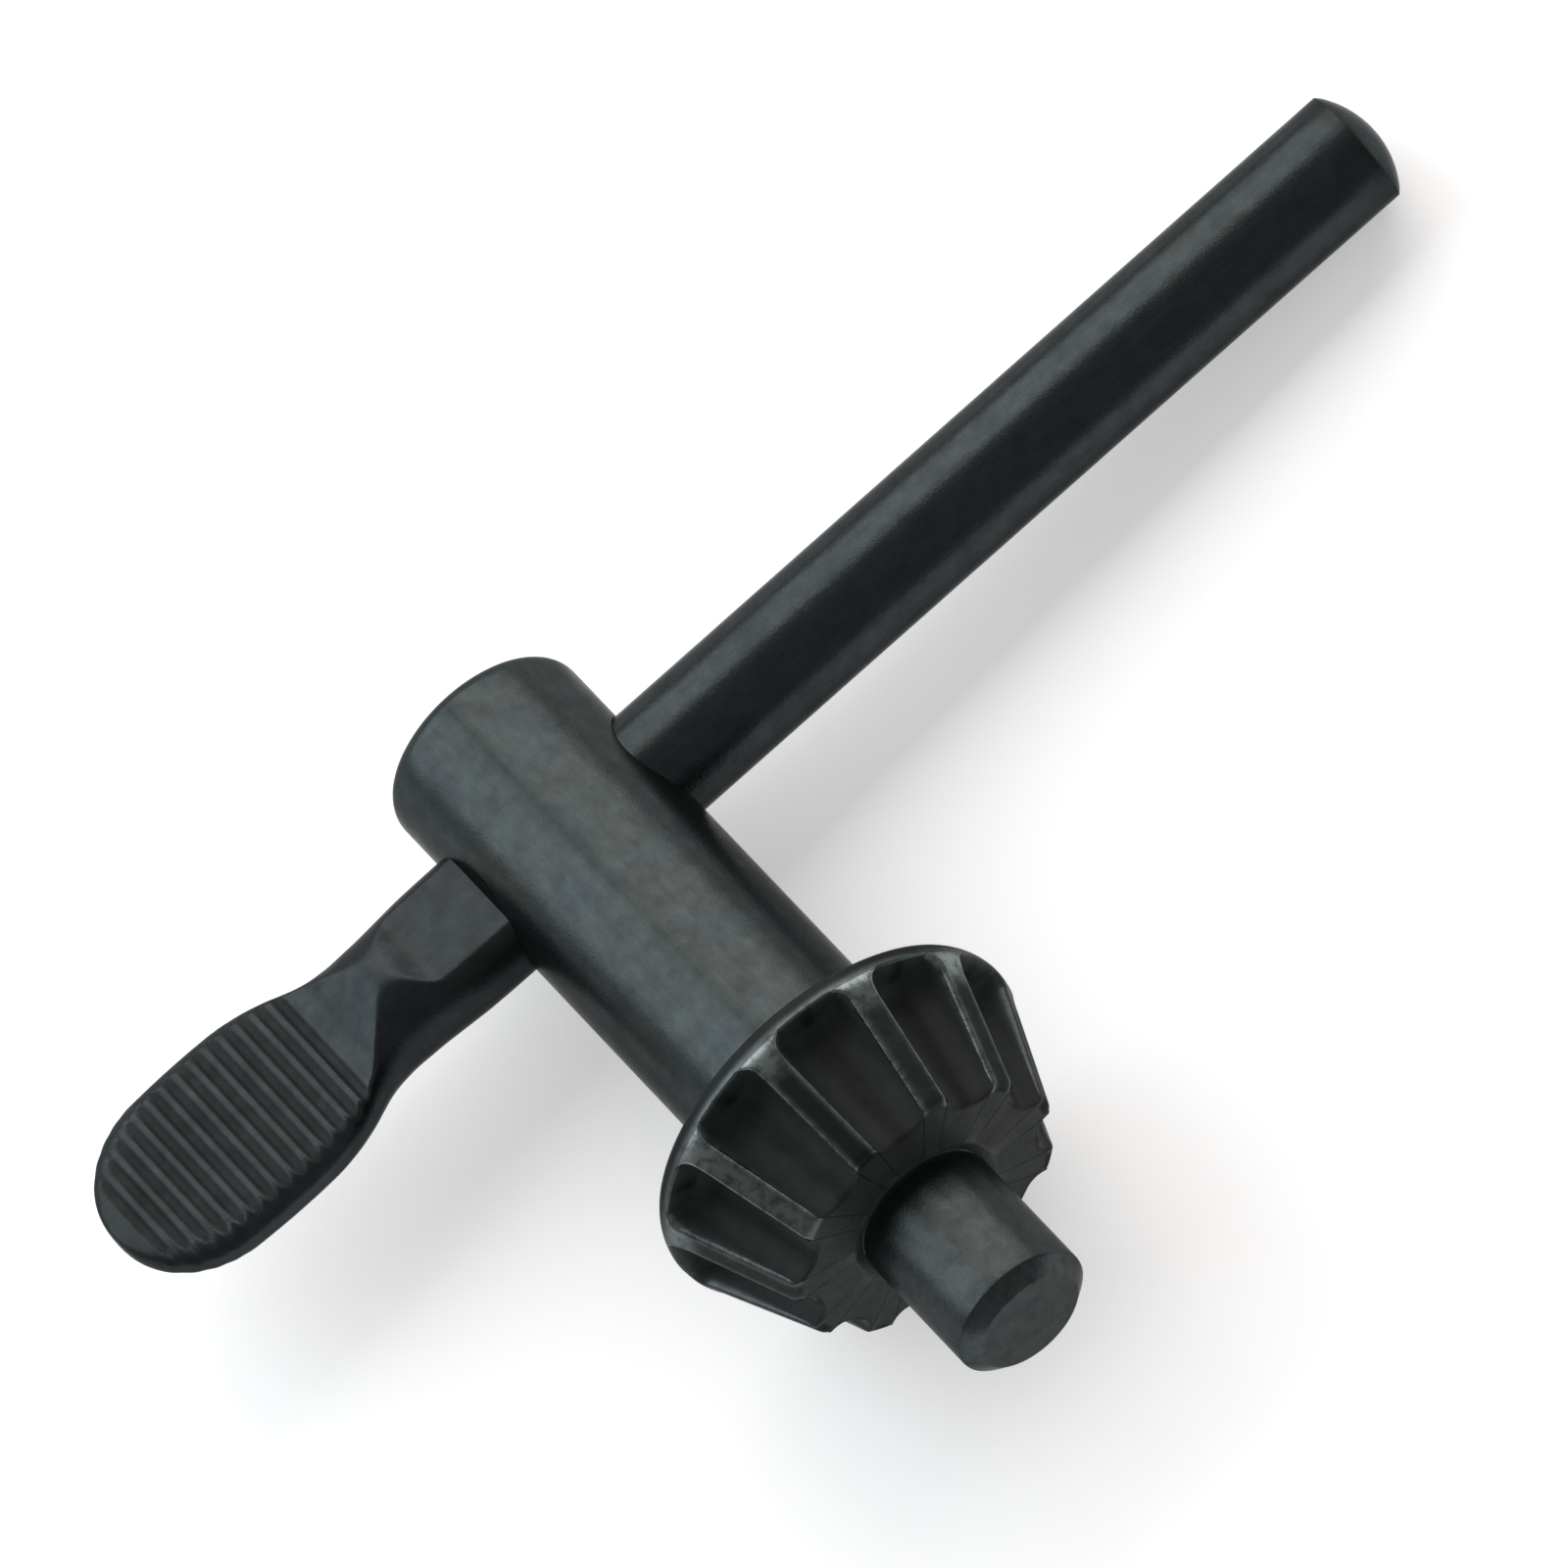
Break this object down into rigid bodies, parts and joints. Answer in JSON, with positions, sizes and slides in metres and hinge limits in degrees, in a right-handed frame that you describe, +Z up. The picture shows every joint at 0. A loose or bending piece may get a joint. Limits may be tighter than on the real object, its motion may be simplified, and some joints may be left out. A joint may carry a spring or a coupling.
{
  "type": "drill chuck key",
  "caption": "T-handled drill chuck key: a toothed bevel gear and pilot pin on a round shank, with a pressed-in round bar ending in a ridged thumb pad.",
  "frame": {"origin": "middle of the bounding box in plan, on the surface the key lies on", "axes": "+Z up from the surface the key lies on; +X along the bar toward its plain end, as seen from above; the pilot points toward -Y. The key lies on its gear, the edge of the shank's far end and the plain end of the bar, so the bar dips to +X and the shank rises to the pilot."},
  "size_m": [0.0868, 0.0484, 0.022],
  "materials": {
    "body_steel": "blackened forging, satin, slightly mottled",
    "bar_steel": "blackened bar, satin"
  },
  "bodies": {
    "root": {"key_body": "body_steel", "handle_bar": "bar_steel"}
  },
  "joints": []
}
